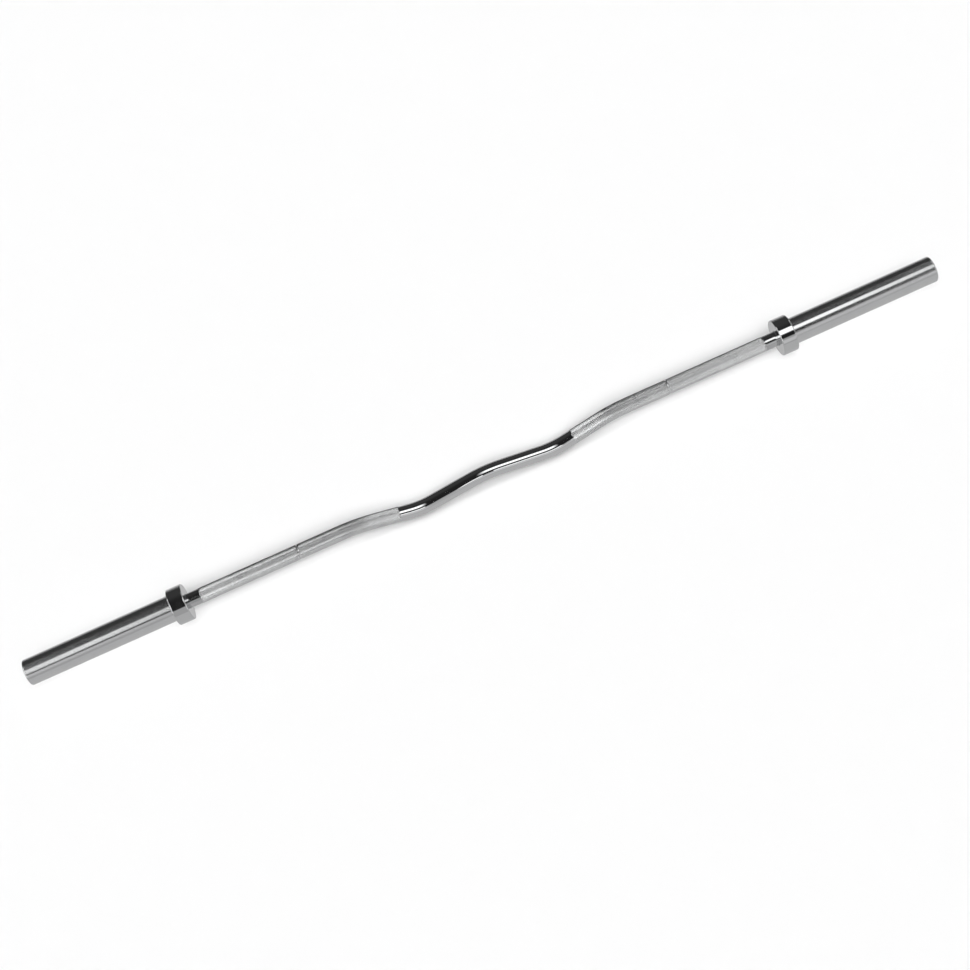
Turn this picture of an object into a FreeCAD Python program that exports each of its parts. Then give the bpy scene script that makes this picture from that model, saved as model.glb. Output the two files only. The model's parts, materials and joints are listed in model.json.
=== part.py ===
import FreeCAD, Part
import math
import os

# Curl bar with plate sleeves. One steel shaft is bent into a shallow W for the hands and
# carries a turning sleeve at each end. The bar lies along X, standing on its two collars
# and on the two valleys of the W. The origin is on the floor, under the middle of the bar.
# Sizes are in millimetres and angles in degrees.

V = FreeCAD.Vector

# The whole bar
overall_length = 1830.0
collar_spacing = 1190.0
collar_width = 30.0
collar_diameter = 70.0
sleeve_diameter = 50.0
shaft_diameter = 28.0

# The W of the grip: the straight runs turn by these angles from the sleeves' axis
valley_half_spacing = 134.0
outer_slope_angle = 10.8
inner_slope_angle = 7.0
valley_reach = 7.75
outer_bend_radius = 318.0
valley_bend_radius = 152.0
centre_bend_radius = 242.0

# The knurled grip zones, at the root of the knurl, and the ring mark in each
plain_run_past_valley = 19.0
plain_run_at_collar = 26.0
knurl_root_depth = 0.3
ring_mark_run_past_bend = 82.0
ring_mark_width = 2.5
ring_mark_depth = 0.5
knurl_run_out = 1.0

# The journal inside each sleeve
shoulder_step = 1.5
journal_end_chamfer = 1.5

# The collar
collar_chamfer = 1.5
collar_bore_chamfer = 2.4
lip_thickness = 6.0
lip_chamfer = 0.8
lip_clearance = 0.6
lip_gap = 1.0

# The sleeve tube
sleeve_end_chamfer = 1.5
spigot_step = 2.0
relief_width = 0.6
pocket_step = 4.5
cap_wall = 3.5

# Bushes and thrust washers
bush_wall = 3.0
bush_length = 32.0
bush_flange_clearance = 0.3
bush_flange_thickness = 3.0
bush_chamfer = 0.6
thrust_washer_side_room = 2.0
thrust_washer_thickness = 2.0
running_clearance = 0.05
washer_clearance = 0.1
end_float = 0.2

# Circlip on the journal
circlip_thickness = 1.5
circlip_groove_depth = 0.55
circlip_width = 3.2
circlip_lug_radius = 2.6
circlip_hole_radius = 1.0
circlip_land = 3.0

# End cap, its rubber ring and the snap ring that holds it
cap_thickness = 7.0
cap_clearance = 0.1
cap_edge_chamfer = 0.6
cap_dish_diameter = 26.0
cap_dish_depth = 1.2
cap_gap = 4.0
o_ring_section = 2.4
o_ring_side_room = 0.2
o_ring_fit = 0.05
snap_ring_thickness = 1.75
snap_ring_groove_depth = 1.25
snap_ring_width = 3.8
snap_ring_lug_radius = 2.8
snap_ring_hole_radius = 1.2
snap_ring_recess = 2.0

# Both retaining rings are open by this share of a half turn, with lugs beside the opening
ring_opening_share = 0.09
lug_angle_share = 0.13

# Radii that several pieces share
collar_radius = collar_diameter / 2
sleeve_radius = sleeve_diameter / 2
shaft_radius = shaft_diameter / 2
knurl_root_radius = shaft_radius - knurl_root_depth
journal_radius = shaft_radius - shoulder_step
circlip_groove_radius = journal_radius - circlip_groove_depth
bush_bore_radius = journal_radius + running_clearance
bush_seat_radius = bush_bore_radius + bush_wall
pocket_radius = bush_seat_radius + pocket_step
spigot_radius = sleeve_radius - spigot_step
cap_bore_radius = sleeve_radius - cap_wall
snap_groove_radius = cap_bore_radius + snap_ring_groove_depth
axis_height = collar_radius

# Places along the right half, from the middle of the bar outwards
collar_face = collar_spacing / 2
lip_back = collar_face + lip_thickness
shaft_shoulder = lip_back + lip_gap
inner_flange_face = shaft_shoulder + thrust_washer_thickness + end_float
tube_start = inner_flange_face + bush_flange_thickness
collar_back = collar_face + collar_width
sleeve_end = overall_length / 2
snap_ring_start = sleeve_end - snap_ring_recess - snap_ring_thickness
cap_start = snap_ring_start - cap_thickness
shaft_end = cap_start - cap_gap
circlip_start = shaft_end - circlip_land - circlip_thickness
outer_washer_start = circlip_start - thrust_washer_thickness
outer_flange_start = outer_washer_start - end_float - bush_flange_thickness
knurl_outer_place = collar_face - plain_run_at_collar

# The W lies in a plane tipped so that its valleys just touch the floor
valley_drop = collar_radius - shaft_radius
valley_depth = math.hypot(valley_drop, valley_reach)
outer_slope = math.radians(outer_slope_angle)
inner_slope = math.radians(inner_slope_angle)


def secant(angle):
    return 1 / math.cos(angle)


# Corners of the W before they are rounded, by place along the bar and depth in that plane.
# The rounded valley's lowest point lies a little beside its corner and above it.
slope_sum = math.tan(outer_slope) + math.tan(inner_slope)
valley_shift = valley_bend_radius * (secant(inner_slope) - secant(outer_slope)) / slope_sum
valley_rounding = valley_bend_radius * (secant(outer_slope) - 1)
valley_corner_depth = valley_depth + valley_shift * math.tan(outer_slope) + valley_rounding
centre_corner_depth = valley_corner_depth - valley_half_spacing * math.tan(inner_slope)
outer_corner_place = valley_half_spacing + valley_corner_depth / math.tan(outer_slope)
outer_bend_end = outer_corner_place + outer_bend_radius * math.tan(outer_slope / 2)
ring_mark_place = outer_bend_end + ring_mark_run_past_bend
valley_arc_reach = valley_bend_radius * math.tan((outer_slope + inner_slope) / 2)
knurl_run = valley_arc_reach + plain_run_past_valley
knurl_inner_place = valley_half_spacing + knurl_run * math.cos(outer_slope)
knurl_edge_depth = valley_corner_depth - knurl_run * math.sin(outer_slope)


def w_point(place, depth):
    """A point of the W: its place along the bar and its depth in the tipped plane."""
    share = depth / valley_depth
    return V(place, -valley_reach * share, -valley_drop * share)


def rounded_corner(before, corner, after, radius):
    """Start, middle and end of the arc that rounds one corner of a path."""
    back = (before - corner).normalize()
    ahead = (after - corner).normalize()
    half_angle = back.getAngle(ahead) / 2
    inward = (back + ahead).normalize()
    reach = radius / math.tan(half_angle)
    middle = corner + inward * (radius / math.sin(half_angle) - radius)
    return corner + back * reach, middle, corner + ahead * reach


def rounded_path(points, radii):
    """Straight runs between the points, joined by tangent arcs at the inner ones."""
    edges = []
    start = points[0]
    for before, corner, after, radius in zip(points, points[1:], points[2:], radii):
        arc = rounded_corner(before, corner, after, radius)
        edges.append(Part.LineSegment(start, arc[0]).toShape())
        edges.append(Part.Arc(*arc).toShape())
        start = arc[2]
    edges.append(Part.LineSegment(start, points[-1]).toShape())
    return Part.Wire(edges)


def round_bar(path, radius):
    """A bar of round section along a path."""
    first = path.OrderedEdges[0]
    start = first.valueAt(first.FirstParameter)
    direction = first.tangentAt(first.FirstParameter)
    section = Part.Wire([Part.Circle(start, direction, radius).toShape()])
    return path.makePipeShell([section], True, False)


def turned(outline):
    """A solid turned about X from an outline of places and radii."""
    points = [V(place, 0, radius) for place, radius in outline]
    face = Part.Face(Part.makePolygon(points + points[:1]))
    return face.revolve(V(0, 0, 0), V(1, 0, 0), 360)


def turned_ring(start, end, inner_radius, outer_radius):
    corners = [(start, inner_radius), (start, outer_radius), (end, outer_radius), (end, inner_radius)]
    return turned(corners)


def plain_grip():
    """The smooth middle of the W, from one knurled zone to the other."""
    half = [(knurl_inner_place, knurl_edge_depth), (valley_half_spacing, valley_corner_depth)]
    left_half = [(-place, depth) for place, depth in half]
    corners = left_half + [(0, centre_corner_depth)] + half[::-1]
    radii = [valley_bend_radius, centre_bend_radius, valley_bend_radius]
    path = rounded_path([w_point(place, depth) for place, depth in corners], radii)
    return round_bar(path, shaft_radius)


def knurled_bend(side):
    """The knurled outer bend on one side, which leads into the line of the sleeves."""
    start = w_point(side * knurl_inner_place, knurl_edge_depth)
    corner = w_point(side * outer_corner_place, 0)
    after = w_point(side * collar_face, 0)
    arc = rounded_corner(start, corner, after, outer_bend_radius)
    edges = [Part.LineSegment(start, arc[0]).toShape(), Part.Arc(*arc).toShape()]
    return round_bar(Part.Wire(edges), knurl_root_radius)


def straight_end():
    """The straight end of the shaft: knurl, ring mark, plain band, journal and groove."""
    mark_start = ring_mark_place - ring_mark_width / 2
    mark_end = ring_mark_place + ring_mark_width / 2
    mark_radius = shaft_radius - ring_mark_depth
    chamfer_start = shaft_end - journal_end_chamfer
    groove_end = circlip_start + circlip_thickness
    outline = [
        (outer_bend_end, 0),
        (outer_bend_end, knurl_root_radius),
        (mark_start, knurl_root_radius),
        (mark_start, mark_radius),
        (mark_end, mark_radius),
        (mark_end, knurl_root_radius),
        (knurl_outer_place, knurl_root_radius),
        (knurl_outer_place + knurl_run_out, shaft_radius),
        (shaft_shoulder, shaft_radius),
        (shaft_shoulder, journal_radius),
        (circlip_start, journal_radius),
        (circlip_start, circlip_groove_radius),
        (groove_end, circlip_groove_radius),
        (groove_end, journal_radius),
        (chamfer_start, journal_radius),
        (shaft_end, journal_radius - journal_end_chamfer),
        (shaft_end, 0),
    ]
    return turned(outline)


def shaft():
    end = straight_end()
    pieces = [knurled_bend(1), knurled_bend(-1), end, turned_about(end)]
    return plain_grip().fuse(pieces).removeSplitter()


def sleeve_tube():
    """The plate sleeve, with a spigot for the collar and a relief groove beside it."""
    plate_seat_start = collar_back + relief_width
    chamfer_start = sleeve_end - sleeve_end_chamfer
    groove_end = snap_ring_start + snap_ring_thickness
    outline = [
        (tube_start, bush_seat_radius),
        (tube_start, spigot_radius),
        (plate_seat_start, spigot_radius),
        (plate_seat_start, sleeve_radius),
        (chamfer_start, sleeve_radius),
        (sleeve_end, sleeve_radius - sleeve_end_chamfer),
        (sleeve_end, cap_bore_radius),
        (groove_end, cap_bore_radius),
        (groove_end, snap_groove_radius),
        (snap_ring_start, snap_groove_radius),
        (snap_ring_start, cap_bore_radius),
        (cap_start, cap_bore_radius),
        (cap_start, pocket_radius),
        (outer_flange_start, pocket_radius),
        (outer_flange_start, bush_seat_radius),
    ]
    return turned(outline)


def sleeve_collar():
    """The collar grips the tube's spigot and covers its end with a lip."""
    lip_radius = shaft_radius + lip_clearance
    outline = [
        (collar_face, lip_radius + lip_chamfer),
        (collar_face, collar_radius - collar_chamfer),
        (collar_face + collar_chamfer, collar_radius),
        (collar_back - collar_chamfer, collar_radius),
        (collar_back, collar_radius - collar_chamfer),
        (collar_back, spigot_radius + collar_bore_chamfer),
        (collar_back - collar_bore_chamfer, spigot_radius),
        (tube_start, spigot_radius),
        (tube_start, pocket_radius),
        (lip_back, pocket_radius),
        (lip_back, lip_radius),
        (collar_face + lip_chamfer, lip_radius),
    ]
    return turned(outline)


def flanged_bush(seat, outward):
    """A bush in the tube's bore, its flange on the seat and its body on the other side."""
    flange_radius = pocket_radius - bush_flange_clearance
    body_end = seat - outward * bush_length
    flange_face = seat + outward * bush_flange_thickness
    outline = [
        (flange_face, bush_bore_radius + bush_chamfer),
        (flange_face, flange_radius),
        (seat, flange_radius),
        (seat, bush_seat_radius),
        (body_end + outward * bush_chamfer, bush_seat_radius),
        (body_end, bush_seat_radius - bush_chamfer),
        (body_end, bush_bore_radius),
        (flange_face - outward * bush_chamfer, bush_bore_radius),
    ]
    return turned(outline)


def thrust_washer(start):
    inner_radius = journal_radius + washer_clearance
    outer_radius = pocket_radius - thrust_washer_side_room
    return turned_ring(start, start + thrust_washer_thickness, inner_radius, outer_radius)


def disc(start, thickness, radius, side=0, height=0):
    """A flat round piece square to the bar, centred beside and over the sleeves' axis."""
    return Part.makeCylinder(radius, thickness, V(start, side, height), V(1, 0, 0))


def open_ring(start, thickness, inner_radius, outer_radius):
    """A flat ring with an opening that faces up."""
    half_angle = ring_opening_share * math.pi
    half_width = outer_radius * math.tan(half_angle)
    corners = [V(start, 0, 0), V(start, half_width, outer_radius), V(start, -half_width, outer_radius)]
    opening = Part.Face(Part.makePolygon(corners + corners[:1])).extrude(V(thickness, 0, 0))
    return disc(start, thickness, outer_radius).cut([disc(start, thickness, inner_radius), opening])


def lug_discs(start, thickness, circle_radius, radius):
    """Two discs beside the opening of a ring: its lugs, or the holes in them."""
    angle = lug_angle_share * math.pi
    side = circle_radius * math.sin(angle)
    height = circle_radius * math.cos(angle)
    return [disc(start, thickness, radius, way * side, height) for way in (-1, 1)]


def shaft_circlip():
    outer_radius = circlip_groove_radius + circlip_width
    place = (circlip_start, circlip_thickness)
    ring = open_ring(*place, circlip_groove_radius, outer_radius)
    lugs = lug_discs(*place, outer_radius, circlip_lug_radius)
    holes = lug_discs(*place, outer_radius, circlip_hole_radius)
    bore = disc(*place, circlip_groove_radius)
    return ring.fuse(lugs).cut(holes + [bore]).removeSplitter()


def sleeve_snap_ring():
    inner_radius = snap_groove_radius - snap_ring_width
    place = (snap_ring_start, snap_ring_thickness)
    ring = open_ring(*place, inner_radius, snap_groove_radius)
    lugs = lug_discs(*place, inner_radius, snap_ring_lug_radius)
    holes = lug_discs(*place, inner_radius, snap_ring_hole_radius)
    return ring.fuse(lugs).cut(holes).removeSplitter()


def o_ring_groove():
    """Start, end and bottom radius of the groove round the end cap."""
    half_width = o_ring_section / 2 + o_ring_side_room
    middle = cap_start + cap_thickness / 2
    bottom = cap_bore_radius - o_ring_section - 2 * o_ring_fit
    return middle - half_width, middle + half_width, bottom


def end_cap():
    groove_start, groove_end, groove_radius = o_ring_groove()
    rim = cap_bore_radius - cap_clearance
    dish_radius = cap_dish_diameter / 2
    outline = [
        (cap_start, 0),
        (cap_start, rim - cap_edge_chamfer),
        (cap_start + cap_edge_chamfer, rim),
        (groove_start, rim),
        (groove_start, groove_radius),
        (groove_end, groove_radius),
        (groove_end, rim),
        (snap_ring_start - cap_edge_chamfer, rim),
        (snap_ring_start, rim - cap_edge_chamfer),
        (snap_ring_start, dish_radius),
        (snap_ring_start - cap_dish_depth, dish_radius - cap_dish_depth),
        (snap_ring_start - cap_dish_depth, 0),
    ]
    return turned(outline)


def end_cap_o_ring():
    groove_start, groove_end, groove_radius = o_ring_groove()
    section_radius = o_ring_section / 2
    ring_radius = groove_radius + o_ring_fit + section_radius
    middle = (groove_start + groove_end) / 2
    return Part.makeTorus(ring_radius, section_radius, V(middle, 0, 0), V(1, 0, 0))


def turned_about(shape):
    """The same piece at the other end of the bar, turned end for end."""
    copy = shape.copy()
    copy.rotate(V(0, 0, 0), V(0, 0, 1), 180)
    return copy


def export(name, shape):
    """Lift the piece from the sleeves' axis to its height over the floor and write it."""
    solid = shape.Solids[0].copy()
    solid.translate(V(0, 0, axis_height))
    solid.exportStep("parts/" + name + ".step")
    print(name, round(solid.Volume), solid.isValid(), len(shape.Solids))


end_pieces = {
    "sleeve_tube": sleeve_tube(),
    "sleeve_collar": sleeve_collar(),
    "inner_bushing": flanged_bush(tube_start, -1),
    "outer_bushing": flanged_bush(outer_flange_start, 1),
    "inner_thrust_washer": thrust_washer(shaft_shoulder),
    "outer_thrust_washer": thrust_washer(outer_washer_start),
    "shaft_circlip": shaft_circlip(),
    "end_cap": end_cap(),
    "end_cap_o_ring": end_cap_o_ring(),
    "sleeve_snap_ring": sleeve_snap_ring(),
}

os.makedirs("parts", exist_ok=True)
export("shaft", shaft())
for piece_name, piece in end_pieces.items():
    export("right_" + piece_name, piece)
    export("left_" + piece_name, turned_about(piece))
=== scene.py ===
# %% [markdown]
# # A chromed curl bar with turning plate sleeves
# The construction of this bar is already fixed by its CAD model. Here it gets its looks: smooth
# chrome, a real knurl on the grips, and the studio that the chrome mirrors. Every piece is made
# in metres, in the same frame as the CAD model, so nothing has to be fitted afterwards.

# %% The fixed frame
import json
import math
import bpy
from mathutils import Matrix, Vector

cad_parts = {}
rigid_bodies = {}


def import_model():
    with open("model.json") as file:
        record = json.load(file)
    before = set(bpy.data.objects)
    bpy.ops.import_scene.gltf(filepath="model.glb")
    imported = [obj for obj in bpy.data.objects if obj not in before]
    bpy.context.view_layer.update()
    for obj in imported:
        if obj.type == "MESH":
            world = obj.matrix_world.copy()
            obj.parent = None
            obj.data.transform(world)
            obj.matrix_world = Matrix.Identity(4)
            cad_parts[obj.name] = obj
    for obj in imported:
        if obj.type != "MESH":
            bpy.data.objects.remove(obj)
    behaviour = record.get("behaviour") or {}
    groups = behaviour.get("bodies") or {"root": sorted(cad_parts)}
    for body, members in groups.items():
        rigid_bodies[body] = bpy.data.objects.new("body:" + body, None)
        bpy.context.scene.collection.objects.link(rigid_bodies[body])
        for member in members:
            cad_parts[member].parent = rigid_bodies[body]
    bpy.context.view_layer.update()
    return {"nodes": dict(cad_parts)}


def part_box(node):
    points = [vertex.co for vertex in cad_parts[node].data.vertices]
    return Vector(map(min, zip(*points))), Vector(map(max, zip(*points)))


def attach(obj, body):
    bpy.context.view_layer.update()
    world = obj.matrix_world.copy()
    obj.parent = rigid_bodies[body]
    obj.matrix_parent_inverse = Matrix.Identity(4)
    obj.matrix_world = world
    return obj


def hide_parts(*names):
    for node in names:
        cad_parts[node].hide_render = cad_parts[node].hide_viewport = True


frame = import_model()
bpy.ops.object.select_all(action="DESELECT")

# %% [markdown]
# ## Sizes
# The boxes of the CAD nodes already hold the main sizes, so they are read from there. What a box
# can't tell, such as the bends and the fits inside, is written down again where it is needed. The
# bar lies along X, and both sleeves turn about one line at the height of the collars' middle.

# %% Sizes read from the frame
collar_low, collar_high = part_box("right_sleeve_collar")
tube_low, tube_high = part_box("right_sleeve_tube")
shaft_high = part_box("shaft")[1]
axis_height = (collar_low.z + collar_high.z) / 2
collar_radius = (collar_high.z - collar_low.z) / 2
collar_face = collar_low.x
collar_back = collar_high.x
sleeve_radius = tube_high.z - axis_height
tube_start = tube_low.x
sleeve_end = tube_high.x
shaft_radius = shaft_high.z - axis_height
shaft_end = shaft_high.x
axis = Vector((0, 0, axis_height))
along = Vector((1, 0, 0))
main_radii = (shaft_radius, sleeve_radius, collar_radius)
print("radii of shaft, sleeve and collar:", *(round(radius, 4) for radius in main_radii))

# %% [markdown]
# ## The W of the grip
# The grip dips into two valleys with a low crest between them, so that the hands can hold the bar
# at a slant. Straight runs meet at corners, and an arc rounds each corner. The plane of the W
# leans forward until the valleys just touch the floor while the bar lies on its collars.

# %% The bends of the grip
valley_half_spacing = 0.134
outer_slope = math.radians(10.8)
inner_slope = math.radians(7.0)
valley_reach = 0.00775
outer_bend_radius = 0.318
valley_bend_radius = 0.152
centre_bend_radius = 0.242

valley_drop = collar_radius - shaft_radius
valley_depth = math.hypot(valley_drop, valley_reach)
down = Vector((0, -valley_reach, -valley_drop)) / valley_depth
bend_axis = along.cross(down)
print("the valleys lie", round(valley_depth, 4), "m from the line of the sleeves")

# %% [markdown]
# ## The corners of the W
# An arc cuts its corner off, so the corner of a valley lies deeper than the valley itself, and the
# corner of the crest lies higher than the crest. The slopes then say where the outer corners lie.

# %% The corners of the W
def secant(angle):
    return 1 / math.cos(angle)


slope_sum = math.tan(outer_slope) + math.tan(inner_slope)
valley_shift = valley_bend_radius * (secant(inner_slope) - secant(outer_slope)) / slope_sum
valley_rounding = valley_bend_radius * (secant(outer_slope) - 1)
valley_corner_depth = valley_depth + valley_shift * math.tan(outer_slope) + valley_rounding
centre_corner_depth = valley_corner_depth - valley_half_spacing * math.tan(inner_slope)
middle_depth = centre_corner_depth + centre_bend_radius * (secant(inner_slope) - 1)
outer_corner_place = valley_half_spacing + valley_corner_depth / math.tan(outer_slope)
middle = axis + down * middle_depth
print("the middle of the grip lies", round(middle_depth, 4), "m from the line of the sleeves")

# %% [markdown]
# ## The camera
# The photograph looks down on the bar at 60 degrees, with the bar drawn up to the right. A
# camera is easiest to build from three directions: back towards the camera, right and up. The
# roll turns right and up about the line of sight, and a small turn brings the left end nearer.

# %% The camera
photo_width = 970
focal_pixels = 1570
camera_distance = 2.9
camera_elevation = math.radians(60)
camera_turn = math.radians(-3.27)
camera_roll = math.radians(24.09)
bar_middle_pixel = (483.9, 469.0)
sensor_width = 36

back = Vector((
    math.sin(camera_turn) * math.cos(camera_elevation),
    -math.cos(camera_turn) * math.cos(camera_elevation),
    math.sin(camera_elevation),
))
level_right = (along - back * along.dot(back)).normalized()
level_up = back.cross(level_right)
right = level_right * math.cos(camera_roll) - level_up * math.sin(camera_roll)
up = level_right * math.sin(camera_roll) + level_up * math.cos(camera_roll)
metres_per_pixel = camera_distance / focal_pixels
aside = (bar_middle_pixel[0] - photo_width / 2) * metres_per_pixel
above = (photo_width / 2 - bar_middle_pixel[1]) * metres_per_pixel

bpy.ops.object.camera_add()
camera = bpy.context.object
camera.name = "photo_camera"
camera.data.sensor_width = sensor_width
camera.data.lens = sensor_width * focal_pixels / photo_width
turned = Matrix((right, up, back)).transposed().to_4x4()
stand = axis + back * camera_distance - right * aside - up * above
camera.matrix_world = Matrix.Translation(stand) @ turned
bpy.context.scene.camera = camera
print("camera at", [round(c, 3) for c in camera.location], "lens", round(camera.data.lens, 1), "mm")

# %% [markdown]
# ## Polished chrome
# Chrome plate is a mirror with a slight grey tint. What makes it look real is that it isn't
# perfect: polishing leaves the faintest waves, and hands leave a film that dulls it in patches.
# Both come from noise in the object's own coordinates, so they stay with the metal from any side.

# %% Helpers for materials
noise_low = 0.3
noise_high = 0.7


def new_material(name):
    """A new material with its node tree and its shader."""
    material = bpy.data.materials.new(name)
    material.use_nodes = True
    return material, material.node_tree, material.node_tree.nodes["Principled BSDF"]


def noise(tree, scale, stretch=(1, 1, 1), detail=3.0):
    """Noise in the object's own coordinates, stretched along any axis with a small number."""
    place = tree.nodes.new("ShaderNodeTexCoord")
    mapping = tree.nodes.new("ShaderNodeMapping")
    mapping.inputs["Scale"].default_value = stretch
    texture = tree.nodes.new("ShaderNodeTexNoise")
    texture.inputs["Scale"].default_value = scale
    texture.inputs["Detail"].default_value = detail
    tree.links.new(place.outputs["Object"], mapping.inputs["Vector"])
    tree.links.new(mapping.outputs["Vector"], texture.inputs["Vector"])
    return texture.outputs["Fac"]


def spread(tree, value, low, high):
    """Spread a noise value, which mostly stays near a half, over the range from low to high."""
    remap = tree.nodes.new("ShaderNodeMapRange")
    remap.inputs["From Min"].default_value = noise_low
    remap.inputs["From Max"].default_value = noise_high
    remap.inputs["To Min"].default_value = low
    remap.inputs["To Max"].default_value = high
    tree.links.new(value, remap.inputs["Value"])
    return remap.outputs["Result"]


def shade_between(tree, value, dark, light):
    """A colour between dark, where the value is nought, and light, where it is one."""
    mix = tree.nodes.new("ShaderNodeMix")
    mix.data_type = "RGBA"
    mix.inputs["A"].default_value = dark
    mix.inputs["B"].default_value = light
    tree.links.new(value, mix.inputs["Factor"])
    return mix.outputs["Result"]


def bump(tree, height, distance):
    """Normals that follow a height, which is this distance from lowest to highest."""
    node = tree.nodes.new("ShaderNodeBump")
    node.inputs["Distance"].default_value = distance
    tree.links.new(height, node.inputs["Height"])
    return node.outputs["Normal"]


print("helpers for procedural materials are ready")

# %% Polished chrome
blue_lean = 0.005
film_scale = 26
film_stretch = (0.4, 1, 1)
film_detail = 5.0
wave_scale = 90
wave_stretch = (0.35, 1, 1)
wave_height = 0.00002


def chrome_grey(level):
    """The grey of chrome plate, which leans a little towards blue."""
    return (level, level + blue_lean, level + 2 * blue_lean, 1)


def polished_chrome(name, darkest, lightest, glossiest, dullest):
    """Mirror chrome whose grey and gloss vary with a film left by hands."""
    material, tree, shader = new_material(name)
    shader.inputs["Metallic"].default_value = 1.0
    film = noise(tree, film_scale, stretch=film_stretch, detail=film_detail)
    tint = shade_between(tree, film, chrome_grey(darkest), chrome_grey(lightest))
    tree.links.new(tint, shader.inputs["Base Color"])
    tree.links.new(spread(tree, film, glossiest, dullest), shader.inputs["Roughness"])
    waves = noise(tree, wave_scale, stretch=wave_stretch)
    tree.links.new(bump(tree, waves, wave_height), shader.inputs["Normal"])
    return material


# The numbers are the darkest and the lightest grey, then the least and the greatest roughness.
shaft_chrome = polished_chrome("shaft_chrome_polished", 0.63, 0.69, 0.025, 0.06)
# The band's darker grey is painted shade: the shaded floor beside the collar, which the band
# mirrors.
band_chrome_painted_shade = polished_chrome("shaft_chrome_band_painted_shade", 0.5, 0.56, 0.07, 0.11)
# The mark's lighter grey is a painted sheen: the light that a rounded groove would catch from the
# side lights.
mark_chrome_painted_sheen = polished_chrome("shaft_chrome_mark_painted_sheen", 0.74, 0.8, 0.26, 0.32)
collar_chrome = polished_chrome("collar_chrome_polished", 0.6, 0.655, 0.025, 0.06)
for chrome in (shaft_chrome, band_chrome_painted_shade, mark_chrome_painted_sheen, collar_chrome):
    print("polished chrome:", chrome.name)

# %% [markdown]
# ## Turned chrome
# The plate sleeves are plated over a turned surface. The tool left fine rings round the sleeve,
# and they smear every reflection along it. That is an anisotropic gloss, whose direction comes
# from the sleeve's own UV map, with faint rings in its roughness and its bump.

# %% Turned chrome
turning_uv = "turning"
turning_scale = 900
turning_stretch = (1, 0.02, 0.02)
turning_height = 0.000004
turned_film_scale = 30
film_shades = (0.95, 1.04)
gloss_shares = (0.85, 1.15)


def shaded(tint, share):
    """The same tint, this many times as bright."""
    return tuple(share * level for level in tint[:3]) + (1,)


def turned_chrome(name, tint, gloss, smear):
    """Chrome with fine rings round the axis, which smear its reflections along it."""
    material, tree, shader = new_material(name)
    shader.inputs["Metallic"].default_value = 1.0
    shader.inputs["Anisotropic"].default_value = smear
    tangent = tree.nodes.new("ShaderNodeTangent")
    tangent.direction_type = "UV_MAP"
    tangent.uv_map = turning_uv
    tree.links.new(tangent.outputs["Tangent"], shader.inputs["Tangent"])
    rings = noise(tree, turning_scale, stretch=turning_stretch, detail=2.0)
    film = noise(tree, turned_film_scale, detail=film_detail)
    dark, light = (shaded(tint, share) for share in film_shades)
    tree.links.new(shade_between(tree, film, dark, light), shader.inputs["Base Color"])
    glossiest, dullest = (gloss * share for share in gloss_shares)
    tree.links.new(spread(tree, rings, glossiest, dullest), shader.inputs["Roughness"])
    tree.links.new(bump(tree, rings, turning_height), shader.inputs["Normal"])
    return material


sleeve_chrome = turned_chrome("sleeve_chrome_turned", chrome_grey(0.66), gloss=0.18, smear=0.75)
cap_steel = turned_chrome("cap_steel_satin", (0.6, 0.6, 0.61, 1), gloss=0.32, smear=0.6)
print("turned chrome:", sleeve_chrome.name, cap_steel.name)

# %% [markdown]
# ## Turned pieces
# Sleeve and collar come off a lathe, and they are made the same way here. Half of the section is
# drawn by extruding one vertex from corner to corner, and the spin operator carries it once round
# the axis. A small bevel then breaks every sharp edge, because no real edge is perfectly sharp.

# %% Helpers that finish a mesh
smooth_angle = math.radians(9)
uv_slant = 0.37
half_a_turn = 0.5


def finish_mesh(piece, material):
    """Leave the piece at the origin, smooth but for its edges, with one material."""
    bpy.ops.object.transform_apply(location=True, rotation=True, scale=True)
    bpy.ops.object.shade_smooth_by_angle(angle=smooth_angle)
    piece.data.materials.clear()
    piece.data.materials.append(material)
    bpy.ops.object.select_all(action="DESELECT")


def map_turning(piece):
    """A UV map whose U runs along the section and whose V counts turns round the axis."""
    layer = piece.data.uv_layers.new(name=turning_uv)
    for face in piece.data.polygons:
        spots = [piece.data.vertices[v].co - axis for v in face.vertices]
        turns = [math.atan2(spot.y, spot.z) / math.tau for spot in spots]
        wraps = max(turns) - min(turns) > half_a_turn
        for loop, spot, turn in zip(face.loop_indices, spots, turns):
            radius = math.hypot(spot.y, spot.z)
            layer.data[loop].uv = (spot.x - uv_slant * radius, turn + (wraps and turn < 0))


print("edges up to", round(math.degrees(smooth_angle)), "degrees are shaded smooth")

# %% Helpers for turned pieces
around_steps = 192
edge_round = 0.00025
edge_rows = 2
sharp_angle = math.radians(25)
rim_support = 0.0004
rim_steps = 12
weld_distance = 0.000001


def rounded_rim(place, inward, radius, edge):
    """Points of a rounded edge, from the flat face to the round outside."""
    points = [(place, radius - edge - rim_support)]
    for part in range(rim_steps + 1):
        turn = math.pi / 2 * part / rim_steps
        past_face = inward * edge * (1 - math.cos(turn))
        points.append((place + past_face, radius - edge * (1 - math.sin(turn))))
    points.append((place + inward * (edge + rim_support), radius))
    return points


def spin_round_axis(name, corners):
    """Draw a line through the corners, and spin it once round the axis."""
    bpy.ops.mesh.primitive_plane_add(size=edge_round, location=corners[0])
    piece = bpy.context.object
    piece.name = name
    bpy.ops.object.mode_set(mode="EDIT")
    bpy.ops.mesh.merge(type="CENTER")
    for start, end in zip(corners, corners[1:]):
        bpy.ops.mesh.extrude_vertices_move(TRANSFORM_OT_translate={"value": end - start})
    bpy.ops.mesh.select_all(action="SELECT")
    bpy.ops.mesh.spin(steps=around_steps, angle=math.tau, center=axis, axis=along)
    bpy.ops.mesh.select_all(action="SELECT")
    bpy.ops.mesh.remove_doubles(threshold=weld_distance)
    bpy.ops.mesh.normals_make_consistent(inside=False)
    bpy.ops.object.mode_set(mode="OBJECT")
    return piece


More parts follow.
